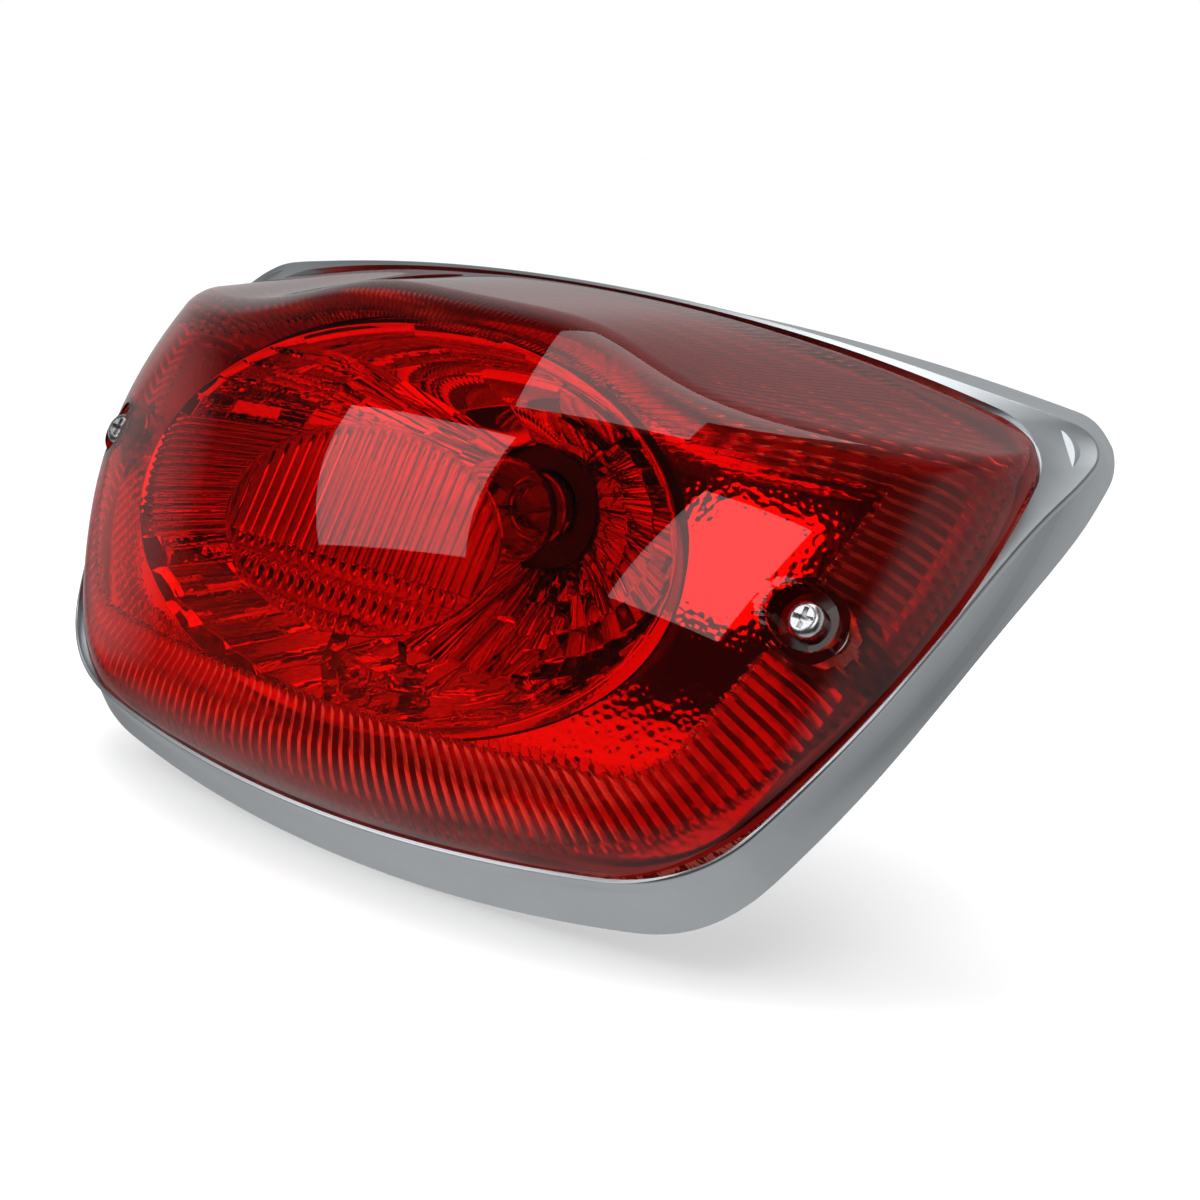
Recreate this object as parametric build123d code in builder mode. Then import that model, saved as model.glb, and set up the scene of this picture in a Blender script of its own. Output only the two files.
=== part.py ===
from build123d import *
import math
import os

# Scooter tail light, in millimetres.
# X runs across the lamp, +Y points forwards into the vehicle, +Z is up.
# The origin lies on the optical axis, in the plane of the rubber mounting pads.

os.makedirs("parts", exist_ok=True)

# ---------------------------------------------------------------- driving dimensions
RING_AHEAD = 69.0          # centre of the bowl's rim, in front of the mounting plane
SEAM_LEAN = 40.0           # lean of the seam between lens and bezel, from vertical
RING_LEAN = 24.0           # lean of the bowl's rim and of the diffuser disc
SCREW_LEAN = 28.0          # upward tilt of the lens screws and of the way the lens comes off
SEAM_BACK = 27.5           # seam plane behind the rim's centre, along its own normal
LENS_ROOM = 0.9            # gap all round between the lens and the bezel

LENS_WALL = 2.6
LENS_SKIRT = 4.0           # lens wall behind the seam
GASKET_H = 1.0
LEDGE_H = 1.5              # inward ledge of the bezel
FLANGE_H = 3.0             # flange of the housing
BEZEL_WALL = 2.4
FIELD_GAP = 9.0            # reflector's field behind the lens's outer face
FIELD_WALL = 2.0
REFLECTOR_INSET = 5.0      # reflector's skirt inside the lens's outline

RING_A = 73.0              # bowl rim, half width
RING_B = 44.5              # bowl rim, half height in its own plane
RIM_T = 1.2
BOWL_END = 54.7            # bowl's rear hole, behind the rim's centre
BOWL_HOLE_R = 15.6
DISC_A = 37.5
DISC_B = 22.8
DISC_T = 2.4
DISC_AHEAD = 10.8

BOSS_R = 2.8               # bezel's bosses, notched into the housing's flange
POST_R = 4.0               # reflector's feet on the flange
PILOT_R = 1.2

SCREW_X = 98.8
HEAD_BACK = 9.65           # top of the screw's head, behind the rim's centre
HEAD_UP = 1.8
HEAD_R = 4.0
HEAD_H = 3.1
SHANK_R = 2.0
WELL_R = 7.8
PILLAR_R = 5.0

TUB_X = 72.0               # housing tub, half width
TUB_LOW = -44.0
TUB_HIGH = 22.0
TUB_BACK = 66.0            # outer face of the tub's rear wall, behind the rim's centre
TUB_WALL = 2.5
STUD_X = 56.0
STUD_R = 3.0
SHOULDER_R = 3.6           # stud inside the housing and the pad, up to the bracket
STUD_OUT = 20.0
PAD_R = 10.0

BALL_AT = 40.0             # centre of the bulb's glass ball
BALL_R = 12.5
CAP_R = 7.5
CAP_FROM = 56.0
CAP_TO = 76.0
PIN_R = 1.0
PIN_TIP = 8.7
PIN_AT = (69.0, 72.0)      # the two bayonet pins stand at different depths
PUSH = 1.5                 # travel of the bulb when it is pushed in
TWIST = 20.0               # turn that frees the bulb
HOLDER_TURN = 35.0         # turn that frees the holder
NECK_R = 14.6
LUGS = 3
RUN = 0.3                  # clearance between pieces that move


def lean_dir(lean):
    """Unit vector that faces forwards out of the lamp and leans up."""
    a = math.radians(lean)
    return Vector(0, -math.cos(a), math.sin(a))


def lean_plane(lean, ahead):
    """Plane that faces along lean_dir, that far ahead of the rim's centre."""
    n = lean_dir(lean)
    return Plane(origin=Vector(0, -RING_AHEAD, 0) + n * ahead, x_dir=(1, 0, 0), z_dir=n)


def back_plane(depth):
    """Upright plane, that far behind the rim's centre, facing forwards out of the lamp."""
    return Plane(origin=(0, depth - RING_AHEAD, 0), x_dir=(1, 0, 0), z_dir=(0, -1, 0))


seam = lean_plane(SEAM_LEAN, -SEAM_BACK)


def front_y(x, z):
    """Outer face of the lens: bulged, leaning back towards the top and the sides."""
    u = (x / 100) ** 2
    v = z / 50
    across = 24.7 * u - 4.4 * u**2 + 7.4 * u**3
    upward = 17.1 * v + 16.6 * v**2 + 5.1 * v**3 - 2.8 * v**4
    return -RING_AHEAD - 18.4 + across + upward + 2.8 * u * v + 1.6 * u * v**2


def crease_z(x):
    """Height of the gull-wing crease along the lens's top."""
    return 34.3 + 15.4 / (1 + abs(x / 52) ** 4.6)


def lip_point(x, v):
    """Point of the bezel's front lip: a shallow dome about the seam plane."""
    w = -13.9 - 7.4 * (x / 100) ** 2 - 2.2 * (x / 100) ** 4 + 5.1 * (v / 50) - 5.5 * (v / 50) ** 2
    return seam.from_local_coords(Vector(x, v, w + SEAM_BACK))


def seat_point(x, v):
    """Point of the vehicle's rounded tail panel, which the bezel's rear edge lies on."""
    w = -29.9 - 4.9 * (x / 100) ** 2 + 0.5 * (x / 100) ** 4 + 6.7 * (v / 50) - 7.2 * (v / 50) ** 2
    return seam.from_local_coords(Vector(x, v, w + SEAM_BACK))


def seam_top(x):
    """Point on the lens's top edge, where it meets the bezel's lip."""
    return lip_point(x, 86.3 - 0.0008 * x**2)


def panel_face(point):
    rows = [[point(20 * i, 20 * j) for j in range(-4, 7)] for i in range(-7, 8)]
    return Face.make_surface_from_array_of_points(rows, tol=0.05)


def front_face(gap):
    rows = []
    for i in range(-7, 8):
        rows.append([Vector(20 * i, front_y(20 * i, 14 * j) + gap, 14 * j) for j in range(-6, 7)])
    return Face.make_surface_from_array_of_points(rows, tol=0.05)


def top_face(drop):
    rows = []
    for i in range(-14, 15):
        x = 10 * i
        crease = Vector(x, front_y(x, crease_z(x)), crease_z(x) - drop)
        edge = seam_top(x) - Vector(0, 0, drop)
        rows.append([crease + (edge - crease) * (s / 4) for s in range(-4, 8)])
    return Face.make_surface_from_array_of_points(rows, tol=0.05)


def circle_through(a, b, c):
    """Centre and radius of the circle through three points."""
    d = 2 * (a[0] * (b[1] - c[1]) + b[0] * (c[1] - a[1]) + c[0] * (a[1] - b[1]))
    a2 = a[0] ** 2 + a[1] ** 2
    b2 = b[0] ** 2 + b[1] ** 2
    c2 = c[0] ** 2 + c[1] ** 2
    x = (a2 * (b[1] - c[1]) + b2 * (c[1] - a[1]) + c2 * (a[1] - b[1])) / d
    y = (a2 * (c[0] - b[0]) + b2 * (a[0] - c[0]) + c2 * (b[0] - a[0])) / d
    return x, y, math.hypot(a[0] - x, a[1] - y)


def crossing(one, two, up):
    """Right-hand crossing of two circles: the upper or the lower of the pair."""
    gap = math.hypot(two[0] - one[0], two[1] - one[1])
    along = (gap**2 + one[2] ** 2 - two[2] ** 2) / (2 * gap)
    aside = math.sqrt(one[2] ** 2 - along**2)
    ux, uy = (two[0] - one[0]) / gap, (two[1] - one[1]) / gap
    pair = [(one[0] + along * ux - s * aside * uy, one[1] + along * uy + s * aside * ux)
            for s in (-1, 1)]
    pair = sorted(pair, key=lambda p: p[1])
    return pair[1] if up else pair[0]


def closed_outline(bottom, low, side, high, top, low_r, high_r, grow=0):
    """Rounded trapezoid of four bowed sides, grown outwards evenly by grow."""
    under = circle_through((-low[0], low[1]), (0, bottom), low)
    beside = circle_through(low, side, high)
    over = circle_through(high, (0, top), (-high[0], high[1]))
    under, beside, over = [(c[0], c[1], c[2] + grow) for c in (under, beside, over)]
    foot = crossing(under, beside, False)
    head = crossing(over, beside, True)
    waist = (beside[0] + beside[2], beside[1])
    if not foot[1] < waist[1] < head[1]:
        mid = math.atan2((foot[1] + head[1]) / 2 - beside[1], (foot[0] + head[0]) / 2 - beside[0])
        waist = (beside[0] + beside[2] * math.cos(mid), beside[1] + beside[2] * math.sin(mid))
    with BuildSketch() as outline:
        with BuildLine():
            ThreePointArc((-foot[0], foot[1]), (0, bottom - grow), foot)
            ThreePointArc(foot, waist, head)
            ThreePointArc(head, (0, top + grow), (-head[0], head[1]))
            ThreePointArc((-head[0], head[1]), (-waist[0], waist[1]), (-foot[0], foot[1]))
        make_face()
        fillet(outline.vertices().sort_by(Axis.Y)[:2], low_r + grow)
        fillet(outline.vertices().sort_by(Axis.Y)[-2:], high_r + grow)
    return outline.sketch


def lens_outline(grow=0):
    return closed_outline(-57.8, (89.3, -44.9), (113.9, 12), (114.8, 78.2), 86, 40, 18, grow)


def bezel_outline(depth, grow=0):
    """Outline of the flared bezel in a plane parallel to the seam, that far behind it."""
    sizes = {
        -8: (-56.5, (87.5, -44), (112.5, 12), (113, 77), 86.9, 39, 17),
        1: (-59.2, (90.5, -46), (115.4, 12), (117, 80.2), 91, 41, 17),
        9: (-59.6, (92.9, -43.2), (119.1, 5), (125.4, 84.2), 94.8, 37, 12),
        26: (-60.2, (92.3, -50.4), (124.7, 10.3), (121.8, 98.3), 110.9, 39, 15),
    }
    return closed_outline(*sizes[depth], grow)


def dome(inset, gap, drop, behind):
    """Solid under the lens's faces: inset from its outline, front face moved back by gap."""
    with BuildPart() as body:
        with BuildSketch(seam.offset(-behind)):
            add(lens_outline(-inset))
        extrude(amount=90, taper=4)
        extrude(front_face(gap), amount=260, dir=(0, 1, 0), mode=Mode.INTERSECT)
        extrude(top_face(drop), amount=260, dir=(0, 0, -1), mode=Mode.INTERSECT)
    return body.part


def screw_plane(side, depth):
    """Plane across a lens screw, that far under the top of its head."""
    n = lean_dir(SCREW_LEAN)
    head = Vector(side * SCREW_X, HEAD_BACK - RING_AHEAD, HEAD_UP)
    return Plane(origin=head - n * depth, x_dir=(1, 0, 0), z_dir=n)


def finish(piece, label):
    piece.label = label
    export_step(piece, "parts/" + label + ".step")


# ---------------------------------------------------------------- outer lens
with BuildPart() as outer_lens:
    add(dome(0, 0, 0, LENS_SKIRT))
    add(dome(LENS_WALL, LENS_WALL, LENS_WALL, LENS_SKIRT + 1), mode=Mode.SUBTRACT)

lens_solid = dome(0, 0, 0, LENS_SKIRT)
for side in (-1, 1):
    with BuildPart() as well:
        with BuildSketch(screw_plane(side, HEAD_H + LENS_WALL)):
            Circle(WELL_R + 2)
        extrude(amount=60)
        add(lens_solid, mode=Mode.INTERSECT)
    with BuildPart() as bore:
        with BuildSketch(screw_plane(side, HEAD_H)):
            Circle(WELL_R)
        extrude(amount=60)
        with BuildSketch(screw_plane(side, HEAD_H + LENS_WALL + 1)):
            Circle(SHANK_R + RUN)
        extrude(amount=60)
    with outer_lens:
        add(well.part)
        add(bore.part, mode=Mode.SUBTRACT)
finish(outer_lens.part, "outer_lens")

# ---------------------------------------------------------------- lens screws
with BuildPart() as screw:
    with BuildSketch(Plane.XY.offset(-HEAD_H)):
        Circle(HEAD_R)
    extrude(amount=HEAD_H)
    fillet(screw.faces().sort_by(Axis.Z)[-1].edges(), 1.6)
    with BuildSketch(Plane.XY.offset(-HEAD_H)):
        Circle(SHANK_R)
    extrude(amount=-13)
    with BuildSketch(Plane.XY):
        Rectangle(4.6, 1.1)
        Rectangle(1.1, 4.6)
    extrude(amount=-1.7, mode=Mode.SUBTRACT)

with BuildPart() as lens_screws:
    with Locations(screw_plane(-1, 0), screw_plane(1, 0)):
        add(screw.part)
finish(lens_screws.part, "lens_screws")

# ---------------------------------------------------------------- lens gasket
gasket_top = -LENS_SKIRT
with BuildPart() as lens_gasket:
    with BuildSketch(seam.offset(gasket_top - GASKET_H)):
        add(lens_outline(-0.2))
        add(lens_outline(-4.0), mode=Mode.SUBTRACT)
    extrude(amount=GASKET_H)
finish(lens_gasket.part, "lens_gasket")

# ---------------------------------------------------------------- chrome bezel
ledge_top = gasket_top - GASKET_H
boss_places = [(50, 82.6), (-50, 82.6), (40, -51.7), (-40, -51.7)]
with BuildPart() as bezel_outside:
    for depth in (-8, 1, 9, 26):
        with BuildSketch(seam.offset(-depth)):
            add(bezel_outline(depth))
    loft(ruled=True)
with BuildPart() as bezel_inside:
    for depth in (-8, 1, 9, 26):
        with BuildSketch(seam.offset(-depth)):
            add(bezel_outline(depth, -BEZEL_WALL))
    loft(ruled=True)
with BuildPart() as ledge_hole:
    with BuildSketch(seam.offset(ledge_top - LEDGE_H)):
        add(lens_outline(-4.4))
    extrude(amount=20)
with BuildPart() as behind_ledge:
    with BuildSketch(seam.offset(ledge_top - LEDGE_H)):
        Rectangle(400, 400)
    extrude(amount=-60)
with BuildPart() as behind_seat:
    extrude(panel_face(seat_point), amount=120, dir=-1 * lean_dir(SEAM_LEAN))

lens_room = dome(-LENS_ROOM, -2, -LENS_ROOM, -ledge_top)
inner_space = bezel_inside.part & behind_ledge.part
with BuildPart() as chrome_bezel:
    add(bezel_outside.part)
    add(inner_space, mode=Mode.SUBTRACT)
    add(lens_room, mode=Mode.SUBTRACT)
    add(ledge_hole.part, mode=Mode.SUBTRACT)
    extrude(panel_face(lip_point), amount=80, dir=lean_dir(SEAM_LEAN), mode=Mode.SUBTRACT)
    add(behind_seat.part, mode=Mode.SUBTRACT)
    with BuildSketch(seam.offset(ledge_top - LEDGE_H)):
        with Locations(*boss_places):
            Circle(BOSS_R)
    extrude(amount=-FLANGE_H)
    with BuildSketch(seam.offset(ledge_top - LEDGE_H - FLANGE_H)):
        with Locations(*boss_places):
            Circle(1.25)
    extrude(amount=FLANGE_H + 1, mode=Mode.SUBTRACT)
finish(chrome_bezel.part, "chrome_bezel")

# ---------------------------------------------------------------- body gasket
with BuildPart() as seat_skin:
    extrude(panel_face(seat_point), amount=1.6, dir=-1 * lean_dir(SEAM_LEAN))
with BuildPart() as body_gasket:
    add(bezel_outside.part)
    add(bezel_inside.part, mode=Mode.SUBTRACT)
    add(seat_skin.part, mode=Mode.INTERSECT)
finish(body_gasket.part, "body_gasket")

# ---------------------------------------------------------------- rear housing
flange_top = ledge_top - LEDGE_H
post_places = [(88, 45), (-88, 45), (76, -30), (-76, -30)]
reflector_outline = REFLECTOR_INSET

with BuildPart() as flange_front:
    with BuildSketch(seam.offset(flange_top)):
        Rectangle(500, 500)
    extrude(amount=120)
with BuildPart() as tub_core:
    with BuildSketch(back_plane(TUB_BACK)):
        with Locations((0, (TUB_LOW + TUB_HIGH) / 2)):
            RectangleRounded(2 * TUB_X, TUB_HIGH - TUB_LOW, 14)
    extrude(amount=90)
with BuildPart() as tub_hollow:
    with BuildSketch(back_plane(TUB_BACK - TUB_WALL)):
        with Locations((0, (TUB_LOW + TUB_HIGH) / 2)):
            RectangleRounded(2 * (TUB_X - TUB_WALL), TUB_HIGH - TUB_LOW - 2 * TUB_WALL, 11.5)
    extrude(amount=90)

with BuildPart() as rear_housing:
    with BuildSketch(seam.offset(flange_top - FLANGE_H)):
        add(lens_outline(-2.0))
    extrude(amount=FLANGE_H)
    add(tub_core.part)
    add(tub_hollow.part, mode=Mode.SUBTRACT)
    add(flange_front.part, mode=Mode.SUBTRACT)
    for side in (-1, 1):
        with BuildSketch(screw_plane(side, HEAD_H + LENS_WALL + RUN)):
            Circle(PILLAR_R)
        extrude(until=Until.NEXT, dir=-1 * lean_dir(SCREW_LEAN))
        with BuildSketch(screw_plane(side, HEAD_H + LENS_WALL)):
            Circle(3.0)
        extrude(amount=-9, mode=Mode.SUBTRACT)
        with BuildSketch(screw_plane(side, HEAD_H + LENS_WALL + 8)):
            Circle(SHANK_R + RUN)
        extrude(amount=-7, mode=Mode.SUBTRACT)
    with BuildSketch(back_plane(TUB_BACK)):
        Circle(NECK_R + 0.4)
        with PolarLocations(NECK_R + 1.5, LUGS, start_angle=90 - HOLDER_TURN):
            Rectangle(6, 8)
        with Locations((STUD_X, 0), (-STUD_X, 0)):
            Circle(SHOULDER_R)
        with Locations((0, TUB_LOW + 8)):
            Circle(2.5)
    extrude(amount=TUB_WALL, both=True, mode=Mode.SUBTRACT)
    with BuildSketch(seam.offset(flange_top)):
        with Locations(*post_places):
            Circle(1.8)
        with Locations(*boss_places):
            Circle(BOSS_R + 0.2)
    extrude(amount=-FLANGE_H, mode=Mode.SUBTRACT)
finish(rear_housing.part, "rear_housing")

# ---------------------------------------------------------------- threaded inserts in the pillars
with BuildPart() as screw_inserts:
    for side in (-1, 1):
        with BuildSketch(screw_plane(side, HEAD_H + LENS_WALL + RUN)):
            Circle(3.0)
            Circle(SHANK_R + 0.05, mode=Mode.SUBTRACT)
        extrude(amount=-8)
finish(screw_inserts.part, "screw_inserts")

# ---------------------------------------------------------------- reflector
def bowl_body(grow):
    """The bowl's space, from its leaning rim back to the round bulb hole."""
    with BuildPart() as bowl:
        with BuildSketch(lean_plane(RING_LEAN, 0)):
            Ellipse(RING_A + grow, RING_B + grow)
        with BuildSketch(Plane(origin=(0, 27 - RING_AHEAD, 0), x_dir=(1, 0, 0),
                               z_dir=lean_dir(RING_LEAN * 0.5))):
            Ellipse(59 + grow, 36 + grow)
        with BuildSketch(back_plane(BOWL_END)):
            Circle(BOWL_HOLE_R + grow)
        loft()
    return bowl.part


with BuildPart() as bowl_rim:
    with BuildSketch(lean_plane(RING_LEAN, 0)):
        Ellipse(RING_A + RIM_T, RING_B + RIM_T)
        Ellipse(RING_A, RING_B, mode=Mode.SUBTRACT)
    extrude(amount=-9)

field_core = dome(REFLECTOR_INSET, FIELD_GAP, 7, -flange_top)
field_hollow = dome(REFLECTOR_INSET + FIELD_WALL, FIELD_GAP + FIELD_WALL, 7 + FIELD_WALL,
                    -flange_top + 1)
with BuildPart() as reflector_posts:
    with BuildSketch(seam.offset(flange_top)):
        with Locations(*post_places):
            Circle(POST_R)
            Circle(PILOT_R, mode=Mode.SUBTRACT)
    extrude(amount=80)
    add(field_core, mode=Mode.INTERSECT)

with BuildPart() as bowl_front:
    with BuildSketch(lean_plane(RING_LEAN, 0)):
        Ellipse(RING_A, RING_B)
    extrude(amount=30)
with BuildPart() as bowl_place:
    with BuildSketch(lean_plane(RING_LEAN, 0)):
        Ellipse(RING_A + RIM_T, RING_B + RIM_T)
    extrude(amount=30)
    with BuildSketch(lean_plane(RING_LEAN, 0)):
        Ellipse(RING_A + RIM_T, RING_B + RIM_T)
    extrude(amount=-9)
    add(bowl_body(FIELD_WALL))

with BuildPart() as reflector:
    add(field_core)
    add(field_hollow, mode=Mode.SUBTRACT)
    add(reflector_posts.part)
    add(bowl_place.part, mode=Mode.SUBTRACT)
    for side in (-1, 1):
        with BuildSketch(screw_plane(side, 40)):
            Circle(WELL_R + 2.6)
        extrude(amount=90, mode=Mode.SUBTRACT)
finish(reflector.part, "reflector")

# ---------------------------------------------------------------- bowl, set into the reflector
with BuildPart() as reflector_bowl:
    add(bowl_rim.part)
    add(bowl_body(FIELD_WALL))
    add(bowl_body(0), mode=Mode.SUBTRACT)
    add(bowl_front.part, mode=Mode.SUBTRACT)
finish(reflector_bowl.part, "reflector_bowl")

# ---------------------------------------------------------------- reflector and bezel screws
with BuildPart() as reflector_screws:
    with BuildSketch(seam.offset(flange_top - FLANGE_H)):
        with Locations(*post_places):
            Circle(3.0)
    extrude(amount=-1.8)
    with BuildSketch(seam.offset(flange_top - FLANGE_H)):
        with Locations(*post_places):
            Circle(PILOT_R)
    extrude(amount=FLANGE_H + 8)
finish(reflector_screws.part, "reflector_screws")

with BuildPart() as bezel_screws:
    with BuildSketch(seam.offset(flange_top - FLANGE_H)):
        with Locations(*boss_places):
            Circle(2.3)
    extrude(amount=-1.8)
    with BuildSketch(seam.offset(flange_top - FLANGE_H)):
        with Locations(*boss_places):
            Circle(1.25)
    extrude(amount=FLANGE_H + 1)
finish(bezel_screws.part, "bezel_screws")

# ---------------------------------------------------------------- diffuser disc and bracket
disc_plane = Plane(origin=(0, -DISC_AHEAD - RING_AHEAD, -0.6), x_dir=(1, 0, 0),
                   z_dir=lean_dir(RING_LEAN))
with BuildPart() as diffuser_disc:
    with BuildSketch(disc_plane):
        Ellipse(DISC_A, DISC_B)
    extrude(amount=-DISC_T)
finish(diffuser_disc.part, "diffuser_disc")

bowl_space = bowl_body(0)
with BuildPart() as diffuser_bracket:
    with BuildSketch(Plane(origin=(0, -RING_AHEAD, 0), x_dir=(0, 1, 0), z_dir=(1, 0, 0))):
        with BuildLine():
            Polyline((-20, -19), (-14, -16), (8, -28), (14, -48), (-8, -48), (-14, -30),
                     close=True)
        make_face()
    extrude(amount=2.5, both=True)
    with BuildSketch(disc_plane.offset(-DISC_T)):
        Ellipse(DISC_A - 1, DISC_B - 1)
        Ellipse(DISC_A - 4, DISC_B - 4, mode=Mode.SUBTRACT)
    extrude(amount=-2)
    with BuildSketch(Plane.XY.offset(-60)):
        with Locations((0, 2 - RING_AHEAD)):
            SlotOverall(26, 11)
    extrude(amount=28)
    add(bowl_space, mode=Mode.INTERSECT)
finish(diffuser_bracket.part, "diffuser_bracket")


# ---------------------------------------------------------------- bulb
bulb_axis = back_plane(BALL_AT)
with BuildPart() as bulb_glass:
    with Locations(bulb_axis.origin):
        Sphere(BALL_R)
    with BuildSketch(bulb_axis):
        Circle(CAP_R - 0.4)
    extrude(amount=BALL_AT - CAP_FROM - 4)
    with Locations(bulb_axis.origin):
        Sphere(BALL_R - 0.8, mode=Mode.SUBTRACT)
    with BuildSketch(bulb_axis):
        Circle(CAP_R - 1.3)
    extrude(amount=BALL_AT - CAP_FROM - 2, mode=Mode.SUBTRACT)
finish(bulb_glass.part, "bulb_glass")

with BuildPart() as bulb_cap:
    with BuildSketch(back_plane(CAP_TO)):
        Circle(CAP_R)
        Circle(CAP_R - 0.4, mode=Mode.SUBTRACT)
    extrude(amount=CAP_TO - CAP_FROM)
finish(bulb_cap.part, "bulb_cap")

with BuildPart() as bulb_insulator:
    with BuildSketch(back_plane(CAP_TO)):
        Circle(CAP_R - 0.4)
    extrude(amount=3)
finish(bulb_insulator.part, "bulb_insulator")

with BuildPart() as bulb_pins:
    for side, depth in zip((1, -1), PIN_AT):
        pin = Plane(origin=(side * CAP_R, depth - RING_AHEAD, 0), z_dir=(side, 0, 0))
        with BuildSketch(pin.offset(-0.4)):
            Circle(PIN_R)
        extrude(amount=PIN_TIP - CAP_R + 0.4)
    with BuildSketch(back_plane(CAP_TO)):
        Circle(CAP_R - 0.4)
    extrude(amount=CAP_TO - CAP_FROM, mode=Mode.SUBTRACT)
    add(bulb_cap.part, mode=Mode.SUBTRACT)
finish(bulb_pins.part, "bulb_pins")

with BuildPart() as bulb_contacts:
    with BuildSketch(back_plane(CAP_TO)):
        with Locations((3.0, 0), (-3.0, 0)):
            Circle(1.6)
    extrude(amount=-1.2)
finish(bulb_contacts.part, "bulb_contacts")

with BuildPart() as bulb_filaments:
    for x, depth in ((-3.4, 36), (-1.2, 40), (1.2, 40), (3.4, 36)):
        with BuildSketch(back_plane(CAP_FROM + 2)):
            with Locations((x, 0)):
                Circle(0.25)
        extrude(amount=CAP_FROM + 2 - depth)
    for half, depth in ((3.65, 36), (1.45, 40)):
        wire = Plane(origin=(-half, depth - RING_AHEAD, 0), z_dir=(1, 0, 0))
        with BuildSketch(wire):
            Circle(0.45)
        extrude(amount=2 * half)
    with BuildSketch(back_plane(CAP_FROM + 2)):
        Circle(CAP_R - 1.3)
    extrude(amount=2)
finish(bulb_filaments.part, "bulb_filaments")

# ---------------------------------------------------------------- socket shell with bayonet slots
SHELL_R = CAP_R + 0.3
SHELL_WALL = 0.7
SHELL_FROM = 52.5
SHELL_TO = 80.0
with BuildPart() as socket_shell:
    with BuildSketch(back_plane(SHELL_TO)):
        Circle(SHELL_R + SHELL_WALL)
        Circle(SHELL_R, mode=Mode.SUBTRACT)
    extrude(amount=SHELL_TO - SHELL_FROM)
    for start, depth in zip((0, 180), PIN_AT):
        with BuildSketch(back_plane(depth - PIN_R - RUN)):
            with PolarLocations(SHELL_R, 5, start_angle=start - TWIST, angular_range=TWIST,
                                endpoint=True):
                Rectangle(4, 2 * PIN_R + 2 * RUN)
        extrude(amount=-(2 * PIN_R + PUSH + 2 * RUN), mode=Mode.SUBTRACT)
        with BuildSketch(back_plane(depth)):
            with PolarLocations(SHELL_R, 1, start_angle=start - TWIST):
                Rectangle(4, 2 * PIN_R + 2 * RUN)
        extrude(amount=40, mode=Mode.SUBTRACT)
    with BuildSketch(back_plane(SHELL_TO)):
        Circle(10.5)
        Circle(SHELL_R, mode=Mode.SUBTRACT)
    extrude(amount=-0.8)
finish(socket_shell.part, "socket_shell")

# ---------------------------------------------------------------- twist-lock holder
KNOB_FROM = TUB_BACK + 1.8
SPRING_END = 91.0
HOLDER_END = 93.5
with BuildPart() as holder_body:
    with BuildSketch(back_plane(KNOB_FROM)):
        Circle(NECK_R)
    extrude(amount=KNOB_FROM - 56)
    with BuildSketch(back_plane(TUB_BACK - TUB_WALL - RUN)):
        with PolarLocations(NECK_R, LUGS, start_angle=90):
            Rectangle(5.4, 7)
    extrude(amount=2.4)
    with BuildSketch(back_plane(KNOB_FROM)):
        Circle(20)
    extrude(amount=-2.5)
    with BuildSketch(back_plane(KNOB_FROM + 2.5)):
        Circle(16)
        with PolarLocations(14.5, 6):
            RectangleRounded(6, 5, 1.5)
    extrude(amount=-8)
    with BuildSketch(back_plane(KNOB_FROM + 10.5)):
        Circle(12)
    extrude(amount=KNOB_FROM + 10.5 - HOLDER_END)
    with BuildSketch(back_plane(SHELL_TO)):
        Circle(9.2)
    extrude(amount=40, mode=Mode.SUBTRACT)
    with BuildSketch(back_plane(SHELL_TO)):
        Circle(SHELL_R + SHELL_WALL)
    extrude(amount=4, mode=Mode.SUBTRACT)
    with BuildSketch(back_plane(SPRING_END)):
        Circle(8.8)
    extrude(amount=SPRING_END - SHELL_TO, mode=Mode.SUBTRACT)
    add(socket_shell.part, mode=Mode.SUBTRACT)
    with BuildSketch(back_plane(SPRING_END)):
        with Locations((4.5, 0), (-4.5, 0), (0, 6)):
            Rectangle(0.8, 6.3)
    extrude(amount=-5, mode=Mode.SUBTRACT)
finish(holder_body.part, "holder_body")

with BuildPart() as holder_seal:
    with BuildSketch(back_plane(KNOB_FROM)):
        Circle(19)
        Circle(NECK_R, mode=Mode.SUBTRACT)
    extrude(amount=KNOB_FROM - TUB_BACK - RUN)
finish(holder_seal.part, "holder_seal")

with BuildPart() as terminal_blades:
    with BuildSketch(back_plane(SPRING_END)):
        with Locations((4.5, 0), (-4.5, 0), (0, 6)):
            Rectangle(0.8, 6.3)
    extrude(amount=SPRING_END - HOLDER_END - 8)
finish(terminal_blades.part, "terminal_blades")

# ---------------------------------------------------------------- sprung contact carrier
CARRIER_FROM = CAP_TO + 1.3
with BuildPart() as contact_carrier:
    with BuildSketch(back_plane(CARRIER_FROM)):
        Circle(CAP_R - 0.1)
        with Locations((3.0, 0), (-3.0, 0)):
            Circle(1.1, mode=Mode.SUBTRACT)
    extrude(amount=-3)
finish(contact_carrier.part, "contact_carrier")

with BuildPart() as contact_plungers:
    with BuildSketch(back_plane(CARRIER_FROM)):
        with Locations((3.0, 0), (-3.0, 0)):
            Circle(1.1)
    extrude(amount=-4.5)
finish(contact_plungers.part, "contact_plungers")

with BuildPart() as contact_spring:
    coil = Helix(pitch=1.9, height=SPRING_END - CARRIER_FROM - 5.2, radius=6.2,
                 center=(0, CARRIER_FROM + 4.6 - RING_AHEAD, 0), direction=(0, 1, 0))
    with BuildSketch(Plane(origin=coil @ 0, z_dir=coil % 0)):
        Circle(0.5)
    sweep(path=coil)
finish(contact_spring.part, "contact_spring")

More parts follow.
